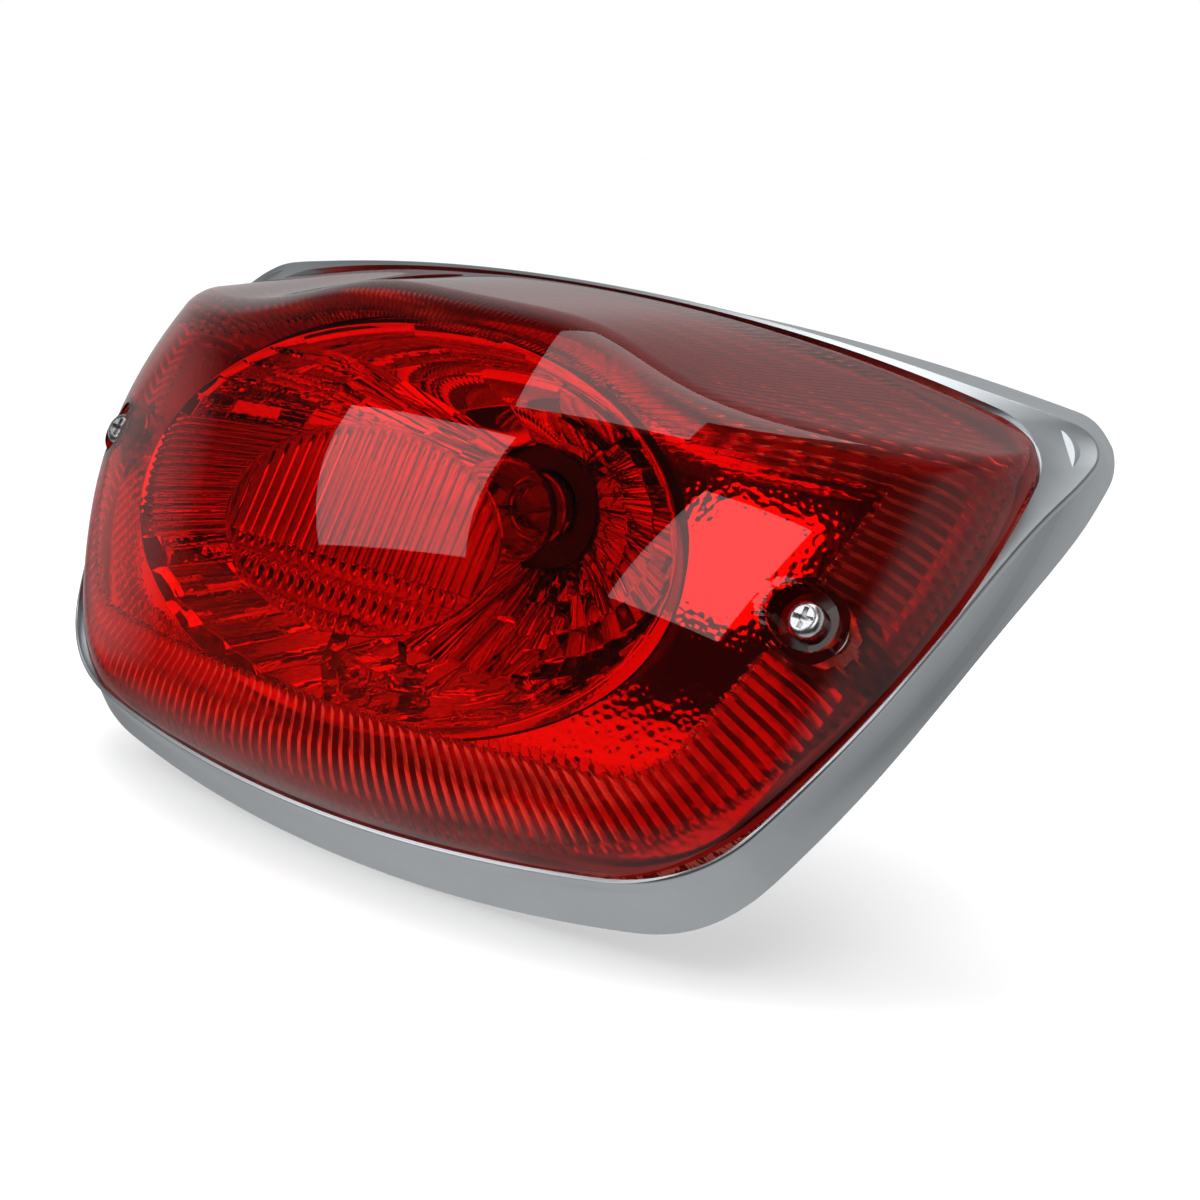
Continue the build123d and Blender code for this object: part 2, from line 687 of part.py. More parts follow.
# ---------------------------------------------------------------- mounting studs
with BuildPart() as mounting_studs:
    for side in (-1, 1):
        with BuildSketch(back_plane(TUB_BACK - TUB_WALL)):
            with Locations((side * STUD_X, 0)):
                RectangleRounded(13, 13, 2)
        extrude(amount=2)
        with BuildSketch(back_plane(TUB_BACK - TUB_WALL)):
            with Locations((side * STUD_X, 0)):
                Circle(SHOULDER_R)
        extrude(amount=TUB_BACK - TUB_WALL - RING_AHEAD)
        with BuildSketch(back_plane(RING_AHEAD)):
            with Locations((side * STUD_X, 0)):
                Circle(STUD_R)
        extrude(amount=-STUD_OUT)
finish(mounting_studs.part, "mounting_studs")

with BuildPart() as stud_grommets:
    for side in (-1, 1):
        with BuildSketch(back_plane(TUB_BACK)):
            with Locations((side * STUD_X, 0)):
                Circle(PAD_R)
                Circle(SHOULDER_R, mode=Mode.SUBTRACT)
        extrude(amount=TUB_BACK - RING_AHEAD)
finish(stud_grommets.part, "stud_grommets")

# ---------------------------------------------------------------- drain plug
with BuildPart() as drain_plug:
    with BuildSketch(back_plane(TUB_BACK + 1.5)):
        with Locations((0, TUB_LOW + 8)):
            Circle(4.5)
    extrude(amount=1.5)
    with BuildSketch(back_plane(TUB_BACK)):
        with Locations((0, TUB_LOW + 8)):
            Circle(2.5)
    extrude(amount=TUB_WALL + 2)
finish(drain_plug.part, "drain_plug")
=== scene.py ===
import math

import bmesh
import bpy
import numpy as np
from mathutils import Matrix, Vector
from mathutils.bvhtree import BVHTree


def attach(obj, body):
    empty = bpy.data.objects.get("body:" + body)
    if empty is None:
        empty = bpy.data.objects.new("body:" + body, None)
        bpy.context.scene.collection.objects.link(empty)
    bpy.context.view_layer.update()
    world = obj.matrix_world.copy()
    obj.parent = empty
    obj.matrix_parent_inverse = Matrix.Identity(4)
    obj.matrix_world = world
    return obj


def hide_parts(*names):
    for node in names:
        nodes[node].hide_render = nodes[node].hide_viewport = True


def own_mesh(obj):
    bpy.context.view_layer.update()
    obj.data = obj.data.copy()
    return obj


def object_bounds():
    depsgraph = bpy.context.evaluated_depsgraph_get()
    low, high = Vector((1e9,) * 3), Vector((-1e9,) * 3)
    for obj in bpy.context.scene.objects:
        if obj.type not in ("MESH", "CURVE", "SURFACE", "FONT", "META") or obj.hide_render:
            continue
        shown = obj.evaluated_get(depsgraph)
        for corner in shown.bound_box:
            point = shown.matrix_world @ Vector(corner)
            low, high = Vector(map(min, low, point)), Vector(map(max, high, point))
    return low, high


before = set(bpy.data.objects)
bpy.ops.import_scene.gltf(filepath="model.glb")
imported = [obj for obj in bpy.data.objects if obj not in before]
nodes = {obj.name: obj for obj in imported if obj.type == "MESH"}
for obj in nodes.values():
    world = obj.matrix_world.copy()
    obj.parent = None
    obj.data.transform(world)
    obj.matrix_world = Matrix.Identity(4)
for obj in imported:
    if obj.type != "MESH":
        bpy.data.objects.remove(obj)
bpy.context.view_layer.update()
MM = 0.001

# Millimetres until a mesh is made. Seam coordinates (x, v, w): v runs up the seam between the lens and
# the bezel, w out of it. The origin of both is the centre of the bowl's rim, AHEAD of the mount.
AHEAD = 69.0
LEAN = math.radians(40)
RING_LEAN = math.radians(24)
SCREW_LEAN = math.radians(28)
SL, CL = math.sin(LEAN), math.cos(LEAN)
CENTRE_V = 12.0
RING_OUT = np.array([0, -math.cos(RING_LEAN), math.sin(RING_LEAN)])
RING_UP = np.array([0, math.sin(RING_LEAN), math.cos(RING_LEAN)])
SCREW_OUT = Vector((0, -math.cos(SCREW_LEAN), math.sin(SCREW_LEAN)))


# ------------------------------------------------------------------------------------ lens surfaces
def front_y(x, z):
    """The pillowed front of the lens."""
    u = (x / 100) ** 2
    v = z / 50
    across = 24.7 * u - 4.4 * u**2 + 7.4 * u**3
    upward = 17.1 * v + 16.6 * v**2 + 5.1 * v**3 - 2.8 * v**4
    return -AHEAD - 18.4 + across + upward + 2.8 * u * v + 1.6 * u * v**2


def crease_z(x):
    """Height of the crease between the front and the top: a gull wing, highest in the middle."""
    return 34.3 + 15.4 / (1 + np.abs(x / 52) ** 4.6)


def lip_w(x, v):
    """The bezel's front edge."""
    return -13.9 - 7.4 * (x / 100) ** 2 - 2.2 * (x / 100) ** 4 + 5.1 * (v / 50) - 5.5 * (v / 50) ** 2


def seat_w(x, v):
    """The bezel's rear edge."""
    return -29.9 - 4.9 * (x / 100) ** 2 + 0.5 * (x / 100) ** 4 + 6.7 * (v / 50) - 7.2 * (v / 50) ** 2


def seam_to_row(x, v, w):
    return np.stack([x, -AHEAD + SL * v - CL * w, CL * v + SL * w], -1)


def row_to_seam(p):
    y, z = p[..., 1] + AHEAD, p[..., 2]
    return p[..., 0], SL * y + CL * z, -CL * y + SL * z


def seam_top(x):
    """Where the lens's top meets the seam."""
    v = 86.3 - 0.0008 * x**2
    return seam_to_row(x, v, lip_w(x, v))


def circle_through(a, b, c):
    d = 2 * (a[0] * (b[1] - c[1]) + b[0] * (c[1] - a[1]) + c[0] * (a[1] - b[1]))
    a2, b2, c2 = [p[0] ** 2 + p[1] ** 2 for p in (a, b, c)]
    x = (a2 * (b[1] - c[1]) + b2 * (c[1] - a[1]) + c2 * (a[1] - b[1])) / d
    y = (a2 * (c[0] - b[0]) + b2 * (a[0] - c[0]) + c2 * (b[0] - a[0])) / d
    return np.array([x, y]), math.hypot(a[0] - x, a[1] - y)


def round_max(a, b, r):
    """Larger of two distances, with the edge between them rounded to radius r."""
    return np.minimum(np.maximum(a, b), -r) + np.hypot(np.maximum(a + r, 0), np.maximum(b + r, 0))


def cross_point(one, two, up):
    """The upper or the lower of two circles' crossings."""
    (c1, r1), (c2, r2) = one, two
    gap = np.hypot(*(c2 - c1))
    along = (gap**2 + r1**2 - r2**2) / (2 * gap)
    aside = math.sqrt(r1**2 - along**2)
    way = (c2 - c1) / gap
    pair = [c1 + along * way + k * aside * np.array([-way[1], way[0]]) for k in (-1, 1)]
    return max(pair, key=lambda q: q[1]) if up else min(pair, key=lambda q: q[1])


def corner_distance(x, v, one, two, r, up):
    """Distance outside two circles whose corner is rounded to radius r."""
    (c1, r1), (c2, r2) = one, two
    d1 = np.hypot(x - c1[0], v - c1[1]) - r1
    d2 = np.hypot(x - c2[0], v - c2[1]) - r2
    c = cross_point((c1, r1 - r), (c2, r2 - r), up)
    n1, n2 = (c - c1) / np.hypot(*(c - c1)), (c - c2) / np.hypot(*(c - c2))
    det = n1[0] * n2[1] - n1[1] * n2[0]
    a = ((x - c[0]) * n2[1] - (v - c[1]) * n2[0]) / det
    b = (n1[0] * (v - c[1]) - n1[1] * (x - c[0])) / det
    return np.where((a > 0) & (b > 0), np.hypot(x - c[0], v - c[1]) - r, np.maximum(d1, d2))


def outline_distance(x, v, sizes):
    """Distance outside a rounded trapezoid of four bowed sides."""
    bottom, low, side, high, top, low_r, high_r = sizes
    x = np.abs(x)
    under = circle_through((-low[0], low[1]), (0, bottom), low)
    beside = circle_through(low, side, high)
    over = circle_through(high, (0, top), (-high[0], high[1]))
    foot = corner_distance(x, v, under, beside, low_r, False)
    return np.where(v < side[1], foot, corner_distance(x, v, over, beside, high_r, True))


# bottom, low corner, side, high corner, top, radius of the low corners, radius of the high corners
LENS_SIZES = (-57.8, (89.3, -44.9), (113.9, 12), (114.8, 78.2), 86, 40, 18)
ANGLE_STEPS = 2881
HALVINGS = 40
angle_table = np.linspace(-math.pi, math.pi, ANGLE_STEPS)


def outline_table(sizes):
    """Radius of an outline about its centre, by angle."""
    lo, hi = np.full(angle_table.shape, 20.0), np.full(angle_table.shape, 160.0)
    for _ in range(HALVINGS):
        mid = (lo + hi) / 2
        out = outline_distance(mid * np.cos(angle_table), CENTRE_V + mid * np.sin(angle_table), sizes) > 0
        hi, lo = np.where(out, mid, hi), np.where(out, lo, mid)
    return (lo + hi) / 2


def even_outline(sizes, count):
    """Angles of points spread evenly along an outline."""
    r = outline_table(sizes)
    x, v = r * np.cos(angle_table), r * np.sin(angle_table)
    run = np.concatenate([[0], np.cumsum(np.hypot(np.diff(x), np.diff(v)))])
    return np.interp(np.arange(count) / count * run[-1], run, angle_table)


BASE_W = -31.5
TAPER = math.tan(math.radians(4))
LENS_GROWN = 0.4
SLOPE_STEP = 0.5


def lens_parts(p):
    """Distances outside the lens's side, its front and its top, roughly in millimetres."""
    x, v, w = row_to_seam(p)
    side = outline_distance(x, v, LENS_SIZES) + TAPER * (w - BASE_W) - LENS_GROWN
    z = p[..., 2]
    zc = np.clip(z, -60, 62)
    slope_z = front_y(x, zc + SLOPE_STEP) - front_y(x, zc - SLOPE_STEP)
    slope_x = front_y(x + SLOPE_STEP, zc) - front_y(x - SLOPE_STEP, zc)
    front = (front_y(x, zc) - p[..., 1]) / np.sqrt(1 + slope_z**2 + slope_x**2)
    cz = crease_z(x)
    cy = front_y(x, cz)
    end = seam_top(x)
    tilt = (end[..., 2] - cz) / (end[..., 1] - cy)
    top = (z - cz - tilt * (p[..., 1] - cy)) / np.sqrt(1 + tilt**2)
    return side, front, top


CREASE_R = 3.0
TOP_EDGE_R, FRONT_EDGE_R = 1.0, 8.5


def lens_field(p):
    """Distance outside the lens's outer face: wide rounding round the front, a tight one along the top."""
    side, front, top = lens_parts(p)
    k = np.clip((front - top + 7) / 12, 0, 1)
    edge_r = TOP_EDGE_R + (FRONT_EDGE_R - TOP_EDGE_R) * k * k * (3 - 2 * k)
    return round_max(side, round_max(front, top, CREASE_R), edge_r)


def march(start, way, level):
    """Points along the rays where the lens's field reaches a level."""
    lo, hi = np.zeros(start.shape[:-1]), np.full(start.shape[:-1], 1.0)
    for _ in range(26):
        mid = (lo + hi) / 2
        out = lens_field(start + way * mid[..., None]) > level
        hi, lo = np.where(out, mid, hi), np.where(out, lo, mid)
    return start + way * ((lo + hi) / 2)[..., None]


SKIRT_SHARE = 0.35
SKIRT_HEIGHT = 46
CORE, CORE_HEIGHT = 0.45, 0.25
RAY_STRETCH = 1.9


def rays(rows, angles):
    """Rays that cover the lens: rows run from its rear edge up its side and in to its middle."""
    t = rows[:, None]
    r = np.interp(angles, angle_table, outline_table(LENS_SIZES))[None, :]
    c, s = np.cos(angles)[None, :], np.sin(angles)[None, :]
    spread = np.where(t < SKIRT_SHARE, 1.0, 1 - (t - SKIRT_SHARE) / (1 - SKIRT_SHARE)) * r
    height = SKIRT_HEIGHT * np.minimum(t / SKIRT_SHARE, 1.0) + 0 * spread
    inner = seam_to_row(CORE * spread * c, CENTRE_V + CORE * spread * s, BASE_W + CORE_HEIGHT * height)
    outer = seam_to_row(spread * c, CENTRE_V + spread * s, BASE_W + height)
    return inner, (outer - inner) * RAY_STRETCH


# ------------------------------------------------------------------------------------ mesh helpers
def grid_faces(rows, columns, closed=True, flip=False, first=0):
    across = columns if closed else columns - 1
    i, j = np.meshgrid(np.arange(rows - 1), np.arange(across), indexing="ij")
    k = (j + 1) % columns
    quads = np.stack([i * columns + j, i * columns + k, (i + 1) * columns + k, (i + 1) * columns + j], -1)
    quads = quads.reshape(-1, 4) + first
    return (quads[:, ::-1] if flip else quads).tolist()


def hoop_faces(rows, columns):
    """Faces of a hoop whose section is closed: its last row joins its first."""
    last = (rows - 1) * columns
    joins = [[last + j, last + (j + 1) % columns, (j + 1) % columns, j] for j in range(columns)]
    return grid_faces(rows, columns) + joins


def add_piece(name, mesh):
    piece = bpy.data.objects.new(name, mesh)
    bpy.context.scene.collection.objects.link(piece)
    return piece


def make_mesh(name, points, faces):
    mesh = bpy.data.meshes.new(name)
    mesh.from_pydata((np.asarray(points).reshape(-1, 3) * MM).tolist(), [], faces)
    mesh.validate()
    mesh.shade_smooth()
    return add_piece(name, mesh)


def face_outwards(mesh):
    bm = bmesh.new()
    bm.from_mesh(mesh)
    bmesh.ops.recalc_face_normals(bm, faces=bm.faces)
    bm.to_mesh(mesh)
    bm.free()


def paint(piece, material):
    if not piece.data.materials:
        piece.data.materials.append(material)
    for i in range(len(piece.data.materials)):
        piece.data.materials[i] = material


# ------------------------------------------------------------------------------------ materials
def new_material(name):
    m = bpy.data.materials.new(name)
    m.use_nodes = True
    return m, m.node_tree, m.node_tree.nodes["Principled BSDF"]


def add_node(tree, kind, **values):
    node = tree.nodes.new(kind)
    for key, value in values.items():
        if key in node.inputs.keys():
            node.inputs[key].default_value = value
        else:
            setattr(node, key, value)
    return node


def coords(tree, stretch=(1, 1, 1)):
    where = tree.nodes.new("ShaderNodeTexCoord")
    place = tree.nodes.new("ShaderNodeMapping")
    place.inputs["Scale"].default_value = stretch
    tree.links.new(where.outputs["Object"], place.inputs["Vector"])
    return place.outputs["Vector"]


def colour_from(tree, shader, factor, dark, light, low=0.0, high=1.0):
    """Colours the shader from dark to light as the factor goes from low to high."""
    ramp = tree.nodes.new("ShaderNodeValToRGB")
    ramp.color_ramp.elements[0].position = low
    ramp.color_ramp.elements[1].position = high
    ramp.color_ramp.elements[0].color = (*dark, 1)
    ramp.color_ramp.elements[1].color = (*light, 1)
    tree.links.new(factor, ramp.inputs["Fac"])
    tree.links.new(ramp.outputs["Color"], shader.inputs["Base Color"])


def bump_from(tree, shader, height, depth):
    hollow = add_node(tree, "ShaderNodeBump", Strength=1.0, Distance=depth * MM)
    tree.links.new(height, hollow.inputs["Height"])
    tree.links.new(hollow.outputs["Normal"], shader.inputs["Normal"])


def speckled(name, dark, light, rough, metal, scale, bump=0.0, stretch=(1, 1, 1), spread=0.1):
    """A surface of slightly varied colour and gloss, with a fine bump."""
    m, tree, shader = new_material(name)
    noise = add_node(tree, "ShaderNodeTexNoise", Scale=scale, Detail=4.0)
    tree.links.new(coords(tree, stretch), noise.inputs["Vector"])
    colour_from(tree, shader, noise.outputs["Fac"], dark, light, 0.3, 0.7)
    gloss = add_node(tree, "ShaderNodeMapRange")
    gloss.inputs["To Min"].default_value = max(0.0, rough - spread)
    gloss.inputs["To Max"].default_value = rough + spread
    tree.links.new(noise.outputs["Fac"], gloss.inputs["Value"])
    tree.links.new(gloss.outputs["Result"], shader.inputs["Roughness"])
    shader.inputs["Metallic"].default_value = metal
    if bump:
        bump_from(tree, shader, noise.outputs["Fac"], bump)
    return m


PLASTIC_IOR, GLASS_IOR = 1.49, 1.5


def clear_material(name, tint, rough, ior):
    """A clear moulding, whose colour varies a little, as in cast plastic."""
    m, tree, shader = new_material(name)
    noise = add_node(tree, "ShaderNodeTexNoise", Scale=14.0, Detail=2.0)
    tree.links.new(coords(tree), noise.inputs["Vector"])
    colour_from(tree, shader, noise.outputs["Fac"], [c * 0.94 for c in tint], tint)
    shader.inputs["Roughness"].default_value = rough
    shader.inputs["IOR"].default_value = ior
    shader.inputs["Transmission Weight"].default_value = 1.0
    return m


def orange_peel(name):
    """Vacuum-metallised plastic with a soft orange peel."""
    m, tree, shader = new_material(name)
    spot = coords(tree)
    cells = add_node(tree, "ShaderNodeTexVoronoi", Scale=620.0, feature="SMOOTH_F1")
    cells.inputs["Smoothness"].default_value = 0.6
    noise = add_node(tree, "ShaderNodeTexNoise", Scale=240.0, Detail=1.0)
    tree.links.new(spot, cells.inputs["Vector"])
    tree.links.new(spot, noise.inputs["Vector"])
    both = add_node(tree, "ShaderNodeMath", operation="ADD")
    tree.links.new(cells.outputs["Distance"], both.inputs[0])
    tree.links.new(noise.outputs["Fac"], both.inputs[1])
    bump_from(tree, shader, both.outputs["Value"], 0.07)
    colour_from(tree, shader, noise.outputs["Fac"], (0.86, 0.86, 0.87), (0.93, 0.93, 0.94))
    shader.inputs["Metallic"].default_value = 1.0
    shader.inputs["Roughness"].default_value = 0.06
    return m


lens_red = clear_material("lens_red", (0.86, 0.03, 0.016), 0.0, PLASTIC_IOR)
# The fluted border gets a darker red tint than the rest of the same moulding: painted shade.
lens_shaded_band = clear_material("lens_red_band_painted_shade", (0.6, 0.012, 0.018), 0.3, PLASTIC_IOR)
glass_clear = clear_material("diffuser_clear", (0.97, 0.97, 0.97), 0.0, PLASTIC_IOR)
bulb_clear = clear_material("bulb_glass", (0.98, 0.98, 0.98), 0.0, GLASS_IOR)
chrome = speckled("bezel_chrome", (0.62, 0.66, 0.69), (0.68, 0.72, 0.75), 0.33, 1.0, 60.0, spread=0.03)
peel = orange_peel("reflector_field")
mirror = speckled("reflector_metal", (0.88, 0.88, 0.89), (0.94, 0.94, 0.95), 0.03, 1.0, 90.0, spread=0.01)
zinc = speckled("screw_zinc", (0.62, 0.62, 0.64), (0.82, 0.82, 0.83), 0.26, 1.0, 900.0, 0.02)
stud = speckled("stud_zinc", (0.56, 0.57, 0.6), (0.74, 0.75, 0.77), 0.32, 1.0, 700.0, 0.02)
black = speckled("housing_plastic", (0.012, 0.012, 0.013), (0.022, 0.022, 0.024), 0.5, 0.0, 1500.0, 0.05)
holder_black = speckled("holder_plastic", (0.02, 0.02, 0.022), (0.032, 0.032, 0.035), 0.42, 0.0, 1200.0, 0.03)
rubber = speckled("pad_rubber", (0.012, 0.012, 0.012), (0.02, 0.02, 0.02), 0.68, 0.0, 2200.0, 0.03)
# Pale grey is painted light: lit through the glass, the lens gasket gives the lens's border a thin bright red
# line.
lens_seal_painted_light = speckled("lens_gasket_painted_light", (0.3, 0.3, 0.3), (0.36, 0.36, 0.36), 0.6, 0.0, 1800.0, 0.03)
gasket = speckled("gasket_rubber", (0.008, 0.008, 0.008), (0.014, 0.014, 0.014), 0.7, 0.0, 1800.0, 0.03)
silicone = speckled("seal_rubber", (0.22, 0.03, 0.022), (0.3, 0.05, 0.035), 0.55, 0.0, 900.0, 0.03)
brass = speckled("insert_brass", (0.62, 0.42, 0.15), (0.78, 0.56, 0.24), 0.28, 1.0, 800.0, 0.01)
cap_brass = speckled("cap_brass", (0.6, 0.5, 0.28), (0.74, 0.64, 0.4), 0.25, 1.0, 300.0, 0.02)
blade = speckled("terminal_brass", (0.66, 0.56, 0.3), (0.8, 0.7, 0.42), 0.3, 1.0, 500.0, 0.02, (1, 8, 1))
solder = speckled("solder", (0.5, 0.5, 0.52), (0.72, 0.72, 0.74), 0.35, 1.0, 700.0, 0.04)
shell = speckled("shell_steel", (0.5, 0.5, 0.52), (0.7, 0.7, 0.72), 0.25, 1.0, 500.0, 0.02, (1, 6, 1))
spring = speckled("spring_steel", (0.4, 0.4, 0.42), (0.6, 0.6, 0.62), 0.3, 1.0, 900.0, 0.01)
tungsten = speckled("filament", (0.2, 0.2, 0.21), (0.4, 0.4, 0.42), 0.4, 1.0, 2000.0, 0.01)
cap_glass = speckled("cap_glass", (0.008, 0.008, 0.014), (0.02, 0.02, 0.03), 0.12, 0.0, 300.0, 0.01)
phenolic = speckled("carrier_plastic", (0.3, 0.16, 0.06), (0.44, 0.26, 0.11), 0.45, 0.0, 700.0, 0.03)

finishes = {
    "lens_screws": zinc, "reflector_screws": zinc, "bezel_screws": zinc, "lens_gasket": lens_seal_painted_light,
    "body_gasket": gasket, "chrome_bezel": chrome, "rear_housing": black, "screw_inserts": brass,
    "reflector": peel, "reflector_bowl": mirror,
    "diffuser_disc": glass_clear, "diffuser_bracket": glass_clear, "bulb_glass": bulb_clear,
    "bulb_cap": cap_brass, "bulb_pins": cap_brass, "bulb_insulator": cap_glass,
    "bulb_contacts": solder, "bulb_filaments": tungsten, "socket_shell": shell,
    "holder_body": holder_black, "holder_seal": silicone, "terminal_blades": blade,
    "contact_carrier": phenolic, "contact_plungers": blade, "contact_spring": spring,
    "mounting_studs": stud, "stud_grommets": rubber, "drain_plug": rubber,
}
for name, material in finishes.items():
    paint(nodes[name], material)

# ------------------------------------------------------------------------------------ outer lens
WALL = 2.6
SCREW_X, HEAD_BACK, HEAD_UP = 98.8, 9.65, 1.8
WELL_R, TUBE_R, FLOOR, SHANK_R = 6.4, 7.7, 3.1, 2.3
FLUTES, PER_FLUTE = 204, 8
BAND, TOP_BAND, SCALLOP = 15.0, 8.0, 5.5
FLUTE_DEPTH, FLUTE_FOOT, FLUTE_END = 1.0, 0.15, 1.6
columns = FLUTES * PER_FLUTE
outline_angles = even_outline(LENS_SIZES, columns)
lens_rows = np.concatenate([np.linspace(0, SKIRT_SHARE, 44), np.linspace(SKIRT_SHARE, 0.72, 96)[1:],
                            np.linspace(0.72, 0.995, 22)[1:]])


def lens_sheet(level):
    """One face of the lens, on the rays, where its field reaches the level of each ray."""
    return march(*rays(lens_rows, outline_angles), level)


def in_border(side, top, margin=0.0):
    """Whether a place, by its distances outside the side and the top, is in the fluted border."""
    return np.maximum(side + BAND, top + TOP_BAND) > margin


def inner_level():
    """Depth of the inner face: the wall, and in the border upright flutes whose ridges are scalloped."""
    ridge = 1 - np.abs(2 * (np.arange(columns) % PER_FLUTE) / PER_FLUTE - 1)
    side, _, top = lens_parts(lens_sheet(np.full((len(lens_rows), columns), -WALL)))
    fluted = in_border(side, top, FLUTE_END * (1 - ridge)) & (lens_rows[:, None] > 0.05)
    scallop = 0.62 + 0.38 * np.abs(np.cos(math.pi * side / SCALLOP))
    return np.where(fluted, -(WALL + FLUTE_FOOT + FLUTE_DEPTH * ridge * scallop), -WALL)


def off_axis(point, head):
    """How far a point is along a screw's axis, and its offset from it."""
    along = (point - head).dot(SCREW_OUT)
    return along, point - head - along * SCREW_OUT


def cut_wells(bm, hole_r, walls):
    """Opens the sheet round each screw and draws its edge down along the screw's axis."""
    for side in (-1, 1):
        head = Vector(np.array([side * SCREW_X, HEAD_BACK - AHEAD, HEAD_UP]) * MM)
        inside = []
        for vert in bm.verts:
            along, offset = off_axis(vert.co, head)
            if offset.length < hole_r * MM and along > -20 * MM:
                inside.append(vert)
        bmesh.ops.delete(bm, geom=inside, context="VERTS")
        edge = []
        for e in bm.edges:
            offset = off_axis((e.verts[0].co + e.verts[1].co) / 2, head)[1]
            if e.is_boundary and offset.length < (hole_r + 3) * MM:
                edge.append(e)
        for vert in {v for e in edge for v in e.verts}:
            along, offset = off_axis(vert.co, head)
            vert.co = head + along * SCREW_OUT + offset.normalized() * hole_r * MM
        for radius, depth in walls:
            made = bmesh.ops.extrude_edge_only(bm, edges=edge)["geom"]
            fresh = set(made)
            edge = [g for g in made if isinstance(g, bmesh.types.BMEdge)
                    and g.is_boundary and all(v in fresh for v in g.verts)]
            for vert in made:
                if isinstance(vert, bmesh.types.BMVert):
                    offset = off_axis(vert.co, head)[1]
                    vert.co = head - depth * MM * SCREW_OUT + offset.normalized() * radius * MM


def lens_skin(points, flip, hole_r, walls):
    """A sheet of the lens closed at its middle, with its two wells or tubes."""
    rows = len(points)
    flat = np.vstack([points.reshape(-1, 3), points[-1].mean(0)])
    faces = grid_faces(rows, columns, True, flip)
    last = (rows - 1) * columns
    for j in range(columns):
        fan = [last + j, last + (j + 1) % columns, len(flat) - 1]
        faces.append(fan[::-1] if flip else fan)
    part = bmesh.new()
    verts = [part.verts.new(p) for p in (flat * MM).tolist()]
    for f in faces:
        part.faces.new([verts[i] for i in f])
    cut_wells(part, hole_r, walls)
    mesh = bpy.data.meshes.new("part")
    part.to_mesh(mesh)
    part.free()
    return mesh


def build_lens():
    outer = lens_sheet(np.zeros((len(lens_rows), columns)))
    inner = lens_sheet(inner_level())
    bm = bmesh.new()
    for skin in (lens_skin(outer, False, WELL_R, [(WELL_R, FLOOR), (SHANK_R, FLOOR)]),
                 lens_skin(inner, True, TUBE_R, [(TUBE_R, FLOOR + WALL), (SHANK_R, FLOOR + WALL)])):
        bm.from_mesh(skin)
        bpy.data.meshes.remove(skin)
    a = [bm.verts.new(p) for p in outer[0] * MM]
    b = [bm.verts.new(p) for p in inner[0] * MM]
    for j in range(columns):
        k = (j + 1) % columns
        bm.faces.new([a[k], a[j], b[j], b[k]])
    bmesh.ops.remove_doubles(bm, verts=bm.verts, dist=1e-6)
    bmesh.ops.recalc_face_normals(bm, faces=bm.faces)
    mesh = bpy.data.meshes.new("outer_lens_moulding")
    bm.to_mesh(mesh)
    bm.free()
    mesh.shade_smooth()
    mesh.set_sharp_from_angle(angle=math.radians(28))
    return add_piece("outer_lens_moulding", mesh)


def frost_and_shade_border(piece, material):
    """Gives the fluted border on the inner face a softer gloss, and a darker red tint that is painted shade.
    """
    mesh = piece.data
    centres = np.empty(len(mesh.polygons) * 3)
    mesh.polygons.foreach_get("center", centres)
    centres = centres.reshape(-1, 3) / MM
    side, _, top = lens_parts(centres)
    on_inner_face = lens_field(centres) < -1.5
    mesh.materials.append(material)
    mesh.polygons.foreach_set("material_index", (in_border(side, top) & on_inner_face).astype(np.int32))


lens = build_lens()
paint(lens, lens_red)
frost_and_shade_border(lens, lens_shaded_band)
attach(lens, "lens")
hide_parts("outer_lens")

# ------------------------------------------------------------------------------------ chrome bezel
SEAM_W = -27.5
LEDGE_W = SEAM_W - 5.0
UNDER_W = SEAM_W - 6.5
BEZEL_WALL = 2.4
BEZEL_POINTS = 900
LIP_R = 0.9
# Outline at each distance behind the seam, in the order of LENS_SIZES.
BEZEL_SIZES = {
    26: (-60.2, (92.3, -50.4), (124.7, 10.3), (121.8, 98.3), 110.9, 39, 15),
    9: (-59.6, (92.9, -43.2), (119.1, 5), (125.4, 84.2), 94.8, 37, 12),
    1: (-59.2, (90.5, -46), (115.4, 12), (117, 80.2), 91, 41, 17),
    -8: (-56.5, (87.5, -44), (112.5, 12), (113, 77), 86.9, 39, 17),
}
bezel_angles = even_outline(BEZEL_SIZES[9], BEZEL_POINTS)
bezel_knots = np.array([SEAM_W - d for d in BEZEL_SIZES])
bezel_radii = np.array([np.interp(bezel_angles, angle_table, outline_table(s)) for s in BEZEL_SIZES.values()])
lens_radii = np.interp(bezel_angles, angle_table, outline_table(LENS_SIZES))


def bezel_radius(w):
    """Straight lines between the outlines, with the kinks between them worn smooth over 3 mm each way."""
    points = np.arange(BEZEL_POINTS)
    total = np.zeros(BEZEL_POINTS)
    shifts = np.linspace(-3, 3, 7)
    for shift in shifts:
        k = np.clip(np.searchsorted(bezel_knots, w + shift) - 1, 0, len(bezel_knots) - 2)
        t = (w + shift - bezel_knots[k]) / (bezel_knots[k + 1] - bezel_knots[k])
        total += (1 - t) * bezel_radii[k, points] + t * bezel_radii[k + 1, points]
    return total / len(shifts)


def loop_inside(r, inset):
    """Loop of radius r for every angle, moved in by inset."""
    x, v = r * np.cos(bezel_angles), CENTRE_V + r * np.sin(bezel_angles)
    run_x, run_v = np.roll(x, -1) - np.roll(x, 1), np.roll(v, -1) - np.roll(v, 1)
    length = np.hypot(run_x, run_v)
    return x - inset * run_v / length, v + inset * run_x / length


def bezel_loop(w, inset=0.0):
    return loop_inside(bezel_radius(w), inset)


def settle(height):
    """Height at which the bezel's wall meets a curved surface, for every angle."""
    w = np.full(BEZEL_POINTS, -30.0)
    for _ in range(12):
        w = height(*bezel_loop(w))
    return w


w_rear = np.maximum(settle(seat_w), SEAM_W - 26)


